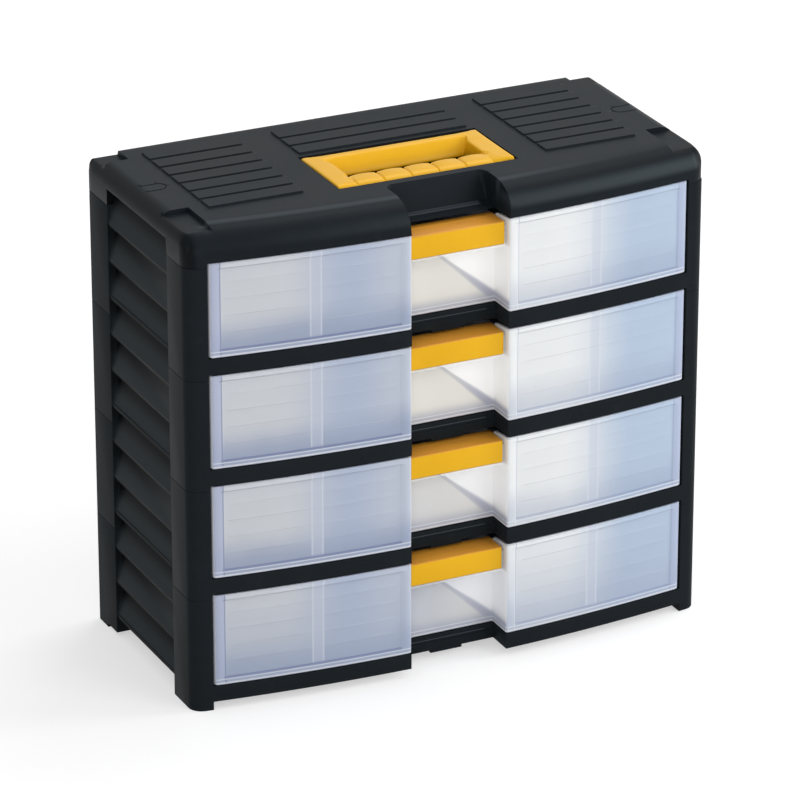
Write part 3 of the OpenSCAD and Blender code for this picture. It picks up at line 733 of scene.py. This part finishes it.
def pull(k):
    """Drawer pull: a hooked section carried across the recess, its ends rounded by insetting the
    section by r (1 - cos a) while it moves out by r sin a."""
    thick, hook = 1.6 * MM, PULL_TOP - 10 * MM
    y0, y1 = FRONT + 5 * MM, RECESS_Y + 2.3 * MM
    section = [(y0, PULL_LOW), (y0 + thick, PULL_LOW), (y0 + thick, PULL_TOP - thick),
               (y1, PULL_TOP - thick), (y1, hook), (y1 + thick, hook), (y1 + thick, PULL_TOP),
               (y0, PULL_TOP)]
    radii = np.array([0.5, 0.3, 0.4, 0.5, 0.4, 0.4, 1.0, 0.9]) * MM
    r = 0.45 * MM
    ends = []
    for a in np.linspace(0, np.pi / 2, 4)[::-1]:
        d = r * (1 - np.cos(a))
        ends.append((PULL_X - r + r * np.sin(a), fillet(inset(section, d), radii - d, steps=4)))
    loops = [across(loop, -x) for x, loop in ends] + [across(loop, x) for x, loop in ends[::-1]]
    m = Moulding(f"pull_{k}")
    m.bar(np.array(loops) + (0, 0, BASE + (k - 1) * ROW_H))
    m.made("yellow_plastic", f"drawer_{k}", f"drawer_pull_{k}")


# ------------------------------------------------------------ cover

def rows_of(*groups):
    """Grid lines in order, from groups of places; lines closer than 0.05 mm count once."""
    lines = np.unique(np.round(np.concatenate([np.atleast_1d(g) for g in groups]), 6))
    return lines[np.concatenate([[True], np.diff(lines) > 0.05 * MM])]


def rolled(d, reach, fall):
    """Drop of a rolled edge at a distance d in from the wall:
    fall (1 - sqrt(1 - (1 - d / reach)^2))."""
    return fall * (1 - np.sqrt(1 - np.clip(1 - d / reach, 0, 1) ** 2))


def cover_height(x, p):
    """Height of the cover's top at x and p, the distance behind the unbowed front: the top less
    the root of the squared drops of the front, side and back edges, plus the rib pads, less the
    slots, pockets, handle well and notch."""
    x = abs(x)
    drops = [rolled(p, *FRONT_ROLL), rolled(HALF_W - x, *SIDE_ROLL), rolled(DEPTH - p, *BACK_ROLL)]
    z = COVER_TOP - np.sqrt(sum(drop ** 2 for drop in drops))
    for start in PAD_P:
        rib = PAD_HIGH * band(p, start, start + PAD_DEEP, PAD_EDGE)
        z = z + rib * band(x, *PAD_X, PAD_EDGE)
        if start > WELL_P[1]:
            z = z + rib * round_step((MIDDLE_PAD_X - x) / PAD_EDGE)

    # a slot follows a half circle round (SLOT_X, SLOT_P) and runs straight out to SLOT_END
    reach = np.hypot(np.minimum(x - SLOT_X, 0), p - SLOT_P)
    slot = np.clip(1 - abs(reach - SLOT_R) / SLOT_HALF, 0, 1)
    z = z - SLOT_DEEP * slot * (1 - round_step((x - SLOT_END) / MM))
    pocket = round_step((x - POCKET_X) / POCKET_EDGE) * (1 - band(p, *POCKET_P, POCKET_EDGE))
    z = z - pocket * np.maximum(z - (COVER_TOP - POCKET_DEEP), 0)
    well = (band(p, WELL_P[0] - WELL_EDGE, WELL_P[1] + WELL_EDGE, WELL_EDGE)
            * round_step((WELL_X + WELL_EDGE - x) / WELL_EDGE))
    z = z + well * (COVER_TOP - WELL_DEEP - z)

    # the notch: how far a place is outside its round-cornered plan decides how much it counts
    off_x, off_p = x - (NOTCH_X - NOTCH_R), p - (NOTCH_P - NOTCH_R)
    away = np.where((off_x > 0) & (off_p > 0), np.hypot(off_x, off_p),
                    np.maximum(off_x, off_p)) - NOTCH_R
    floor = np.minimum(SEAM + np.interp(p, *NOTCH_FLOOR.T), z)
    return z + (1 - round_step(away / NOTCH_SIDE)) * (floor - z)


def cover_grid():
    """The places x and p of the cover's grid lines: evenly spread ones, and some at each edge of
    its features."""
    arc = 1 - np.cos(np.linspace(0, np.pi / 2, 13))
    pad = np.array([0, 0.12, 0.25, 0.35]) * MM
    pocket, well = np.array([0, 0.2, 0.4]) * MM, np.array([0, 0.15, 0.3]) * MM
    notch_corner = np.arange(-8.4, 0, 0.6) * MM
    xs = rows_of(np.linspace(0, HALF_W, 34), HALF_W - SIDE_ROLL[0] * arc,
                 POCKET_X + pocket, WELL_X + well, POST_X + np.array([-0.1, 0.1]) * MM,
                 SLOT_X + np.arange(-6.4, 1, 0.5) * MM,
                 PAD_X[0] + pad, PAD_X[1] - pad, MIDDLE_PAD_X - pad,
                 NOTCH_X + np.array([0, 0.2, 0.4, 0.6, 0.8, 1.1]) * MM, NOTCH_X + notch_corner)
    ps = rows_of(np.linspace(0, DEPTH, 34), FRONT_ROLL[0] * arc, DEPTH - BACK_ROLL[0] * arc[::3],
                 NOTCH_FLOOR[2:, 0], NOTCH_P + np.array([0.3, 0.6, 0.9, 1.1]) * MM,
                 NOTCH_P + notch_corner, WELL_P[0] - well, WELL_P[1] + well,
                 POCKET_P[0] + pocket, POCKET_P[1] - pocket,
                 np.array([47, 47.2, 147, 147.2]) * MM,  # the posts' inner edges
                 SLOT_P + np.arange(-6.4, 6.6, 0.5) * MM,
                 *[start + pad for start in PAD_P], *[start + PAD_DEEP - pad for start in PAD_P])
    return np.concatenate([-xs[:0:-1], xs]), ps


def round_corner(a, b, r):
    """Two distances from the walls of a square corner, bent so that the corner becomes an arc of
    radius r: inside it the vector from the arc's centre keeps its longer part as its length."""
    u, v = np.clip(r - a, 0, None), np.clip(r - b, 0, None)
    both = (u > 0) & (v > 0)
    scale = np.where(both, np.maximum(u, v) / np.where(both, np.hypot(u, v), 1), 1)
    return np.where(both, r - u * scale, a), np.where(both, r - v * scale, b)


def cover():
    """The cover: a height over its grid lines, bent to the bow and to its rounded corners, with
    a skirt down from its rim and a flat underside."""
    xs, ps = cover_grid()
    x, p = np.meshgrid(xs, ps, indexing="ij")
    side, front = round_corner(HALF_W - abs(x), p, FRONT_CORNER)
    side, back = round_corner(side, DEPTH - front, BACK_CORNER)
    bent_x, bent_p = np.sign(x) * (HALF_W - side), DEPTH - back
    y = FRONT + bent_p + bow(bent_x) * (1 - round_step((bent_p - 24 * MM) / (26 * MM)))
    field = np.dstack([bent_x, y, cover_height(x, p)])

    # the notch is open at the front: its faces there are left out, and the rim runs round them
    hair = 0.0001 * MM  # so that a search finds the grid line at the place itself
    left, right = np.searchsorted(xs, (-NOTCH_X - hair, NOTCH_X - hair))
    floor = np.searchsorted(ps, NOTCH_OPEN - hair)
    shown = np.ones((len(xs) - 1, len(ps) - 1), bool)
    shown[left:right, :floor] = False
    m = Moulding("cover")
    m.grid(field, shown=shown)

    rim = np.concatenate([field[right:-1, 0], field[-1, :-1], field[:0:-1, -1], field[0, :0:-1],
                          field[:left, 0], field[left, :floor], field[left:right, floor],
                          field[right, floor:0:-1]])
    along = np.roll(rim, -1, 0)[:, :2] - np.roll(rim, 1, 0)[:, :2]
    inwards = np.column_stack([-along[:, 1], along[:, 0]])
    inwards /= np.linalg.norm(inwards, axis=1)[:, None] + 1e-12
    at_side, off_middle = abs(rim[:, 0]) > POST_X, abs(rim[:, 1] - LOUVRE_Y)
    post, boards = at_side & (off_middle > LOUVRE_HALF), at_side & (off_middle <= LOUVRE_HALF)
    low = np.where(post, SEAM, np.where(boards, SEAM + LOUVRE_LOW, LIP))

    def below(d, height):
        """The rim moved d inwards and set at a height, never above the rim itself; the points
        beside the notch's front corners gather in one, so that the row never crosses itself."""
        d = np.broadcast_to(d, len(rim))
        side, depth = abs(rim[:, 0]), rim[:, 1] - FRONT - bow(rim[:, 0])
        near = d + 0.001 * MM
        corner = (depth < near) & (side < NOTCH_X + near) & (side > NOTCH_X - 0.001 * MM)
        gathered = np.sign(rim[:, 0]) * (NOTCH_X + d)
        gathered = np.column_stack([gathered, FRONT + d + bow(gathered)])
        moved = np.where(corner[:, None], gathered, rim[:, :2] + inwards * d[:, None])
        return np.column_stack([moved, np.minimum(height, rim[:, 2])])

    bevel, wall = 0.4 * MM, np.where(boards, LOUVRE_DEEP, 2.6 * MM)
    skirt = [rim, below(0, low + bevel), below(0.3 * bevel, low + 0.3 * bevel),
             below(bevel, low), below(wall, low), below(wall, LIP + 0.05 * MM)]
    m.grid(np.stack(skirt, 1), loop_u=True)
    m.cap(skirt[-1])
    m.made("cover_plastic", "cabinet", "top_cover", sharp=50)


# ------------------------------------------------------------ carry handle

def handle():
    """Carry handle: a section carried round a frame. A point is d in from the outer plan towards
    the inner one, at height z; the section's four edges are arcs whose radii change from grip to
    arms to hinge bar. The grip's top carries V grooves, and between them low crowns that fall as
    the square of the distance from a finger pad's middle."""
    in_x, in_front, in_back = HANDLE_X - ARM, HANDLE_FRONT + GRIP, HANDLE_BACK - HINGE_BAR
    pad_w = 2 * in_x / FINGER_PADS
    r_out, r_in, steps = 3 * MM, 2 * MM, 7
    near_cut = np.array([-1.6, -0.9, -0.45, 0, 0.45, 0.9, 1.6]) * MM
    cuts = [-in_x + i * pad_w + near_cut for i in range(FINGER_PADS + 1)]
    cuts += [-in_x + (np.arange(FINGER_PADS) + part) * pad_w
             for part in (0.2, 0.35, 0.5, 0.65, 0.8)]
    long_run = np.sort(np.concatenate(cuts))
    short_run = np.linspace(in_front + 3 * MM, in_back - 3 * MM, 8)

    def ring(x_half, y0, y1, r):
        """A rounded frame with points at the runs' places on each side, kept in order at its
        ends."""
        xs = (long_run + x_half - r) / (2 * (x_half - r))
        count = np.arange(1, len(xs) + 1) * 0.002
        xs = np.clip(xs, count, 1 - count[::-1])
        ys = (short_run - y0 - r) / (y1 - y0 - 2 * r)
        plan = [(-x_half, y0), (x_half, y0), (x_half, y1), (-x_half, y1)]
        return fillet(plan, [r] * 4, [xs, ys, 1 - xs[::-1], 1 - ys[::-1]], steps)

    outer = ring(HANDLE_X, HANDLE_FRONT, HANDLE_BACK, r_out)
    inner = ring(in_x, in_front, in_back, r_in)

    def sides(front, side, back):
        """One value per point: its side's, blended over the corners."""
        values, out = [front, side, back, side], []
        for i, run in enumerate([long_run, short_run] * 2):
            out += [np.linspace(values[i - 1], values[i], steps), np.full(len(run), values[i])]
        return np.concatenate(out)

    span = np.linalg.norm(inner - outer, axis=1)
    direct = (inner - outer) / span[:, None]
    at_grip, at_hinge = sides(1, 0, 0), sides(0, 0, 1)
    edge_out = (1.4 + 7.6 * at_grip + 4.4 * at_hinge) * MM
    edge_in_d = (1.2 + 2.6 * at_grip + 8.5 * at_hinge) * MM
    edge_in_z = (1.2 + 2.6 * at_grip + 9.6 * at_hinge) * MM
    round_share = 1 - 0.75 * at_hinge  # the hinge bar's inner edge is mostly a straight slope
    height, foot = HANDLE_TOP - HANDLE_LOW, 0.8 * MM
    quarter = np.linspace(0, np.pi / 2, 7)
    rows = [(foot * (1 - np.sin(a)), foot * (1 - np.cos(a))) for a in quarter[::3]]
    rows += [(edge_out * (1 - np.cos(a)), height - edge_out * (1 - np.sin(a))) for a in quarter]
    rows += [(edge_out + (span - edge_out - edge_in_d) * part, height)
             for part in (0.25, 0.5, 0.75)]
    for a in quarter:
        slope = (1 - round_share) * a / (np.pi / 2)
        rows.append((span - edge_in_d + edge_in_d * (np.sin(a) * round_share + slope),
                     height - edge_in_z * ((1 - np.cos(a)) * round_share + slope)))
    rows += [(span - foot * (1 - np.cos(a)), foot * (1 - np.sin(a))) for a in quarter[::3]]
    d, z = (np.stack([np.broadcast_to(row[i], len(span)) for row in rows], 1) for i in (0, 1))
    plan = outer[:, None] + direct[:, None] * d[..., None]

    x, y = plan[..., 0], plan[..., 1]
    on_grip = (y < HANDLE_FRONT + GRIP + 0.2 * MM) & (abs(x) < in_x + 1.7 * MM)
    place = (x + in_x) / pad_w
    from_cut = abs(place - np.round(place)) * pad_w
    t = np.clip(d / span[:, None], 0, 1) ** 2
    groove = np.clip(1 - from_cut / ((0.5 + 1.1 * t) * MM), 0, 1)
    crown = (2 * (place - np.floor(place)) - 1) ** 2 * (abs(x) < in_x)
    share = np.clip(z / height, 0, 1) ** 2 * on_grip
    z = z - share * MM * ((0.6 + 1.2 * t) * groove + (0.3 + 0.9 * t) * crown)
    m = Moulding("handle")
    m.grid(np.dstack([plan, z + HANDLE_LOW]), loop_u=True, loop_v=True)

    # the pivots: round pins out of both sides of the hinge bar, with bevelled ends
    turn = np.linspace(0, 2 * np.pi, 24, endpoint=False)
    for s in (-1, 1):
        pin = [(HANDLE_X - 1 * MM, 2.9 * MM), (HANDLE_X + 2.6 * MM, 2.9 * MM),
               (HANDLE_X + 3 * MM, 2.5 * MM)]
        m.bar([across(np.column_stack([PIVOT_Y + r * np.cos(turn) * s,
                                       PIVOT_Z + r * np.sin(turn)]), s * end) for end, r in pin])
    m.made("yellow_plastic", "carry_handle", "carry_handle")


for k in range(1, ROWS + 1):
    tray(k)
    pull(k)
    row_frame(k)
cover()
handle()


# ------------------------------------------------------------ stage and light

def seen_directly(nodes):
    """1 in what the camera sees straight, in a gloss or through clear plastic; 0 in the light
    that falls on the object."""
    camera, gloss, through = nodes.node("ShaderNodeLightPath", out=(
        "Is Camera Ray", "Is Glossy Ray", "Is Transmission Ray"))
    add = {"operation": "ADD", "use_clamp": True}
    return nodes.node("ShaderNodeMath", add, nodes.node("ShaderNodeMath", add, camera, gloss),
                      through)


def stage():
    """White floor that keeps the object's shadow, and an even white surround."""
    size = 12
    mesh = bpy.data.meshes.new("floor")
    mesh.from_pydata([(-size, -size, 0), (size, -size, 0), (size, size, 0), (-size, size, 0)],
                     [], [(0, 1, 2, 3)])
    floor = bpy.data.objects.new("floor", mesh)
    bpy.context.scene.collection.objects.link(floor)
    material = bpy.data.materials.new("floor_paper")
    material.use_nodes = True
    material.node_tree.nodes.clear()
    paper = Nodes(material.node_tree)
    matt = paper.node("ShaderNodeBsdfDiffuse", {}, Color=(0.62, 0.62, 0.62, 1))
    glow = paper.node("ShaderNodeEmission", {}, Strength=seen_directly(paper) * 0.5)
    paper.node("ShaderNodeOutputMaterial", {}, out=(),
               Surface=paper.node("ShaderNodeAddShader", {}, matt, glow))
    mesh.materials.append(material)

    world = bpy.data.worlds.new("surround")
    bpy.context.scene.world = world
    world.use_nodes = True
    air = Nodes(world.node_tree)
    lights, shows = 0.6, 1.0
    level = air.node("ShaderNodeMix", {"data_type": "FLOAT"}, seen_directly(air), lights, shows)
    background = air.tree.nodes["Background"]
    background.inputs["Color"].default_value = (1, 1, 1, 1)
    air.tree.links.new(level.socket, background.inputs["Strength"])


def softbox(name, place, aim, size, watts):
    """A rectangular lamp at a place, turned towards its aim."""
    data = bpy.data.lights.new(name, "AREA")
    data.shape, data.size, data.size_y = "RECTANGLE", size[0], size[1]
    data.energy = watts
    lamp = bpy.data.objects.new(name, data)
    bpy.context.scene.collection.objects.link(lamp)
    lamp.location = place
    lamp.rotation_mode = "QUATERNION"
    lamp.rotation_quaternion = (Vector(aim) - Vector(place)).to_track_quat("-Z", "Y")


stage()
softbox("softbox_back", (0.9, 0.6, 2.1), aim=(0, 0, 0.3), size=(1.3, 0.7), watts=12)
softbox("softbox_right", (2.1, -0.7, 0.9), aim=(0.1, 0, 0.2), size=(0.7, 1.3), watts=18)
softbox("softbox_front", (1.2, -2.1, 1.3), aim=(0, 0, 0.15), size=(1.4, 1.4), watts=17)
softbox("softbox_left", (-1.3, -2.2, 0.8), aim=(0, 0, 0.15), size=(0.9, 0.9), watts=10)

scene = bpy.context.scene
scene.view_settings.view_transform = "Standard"
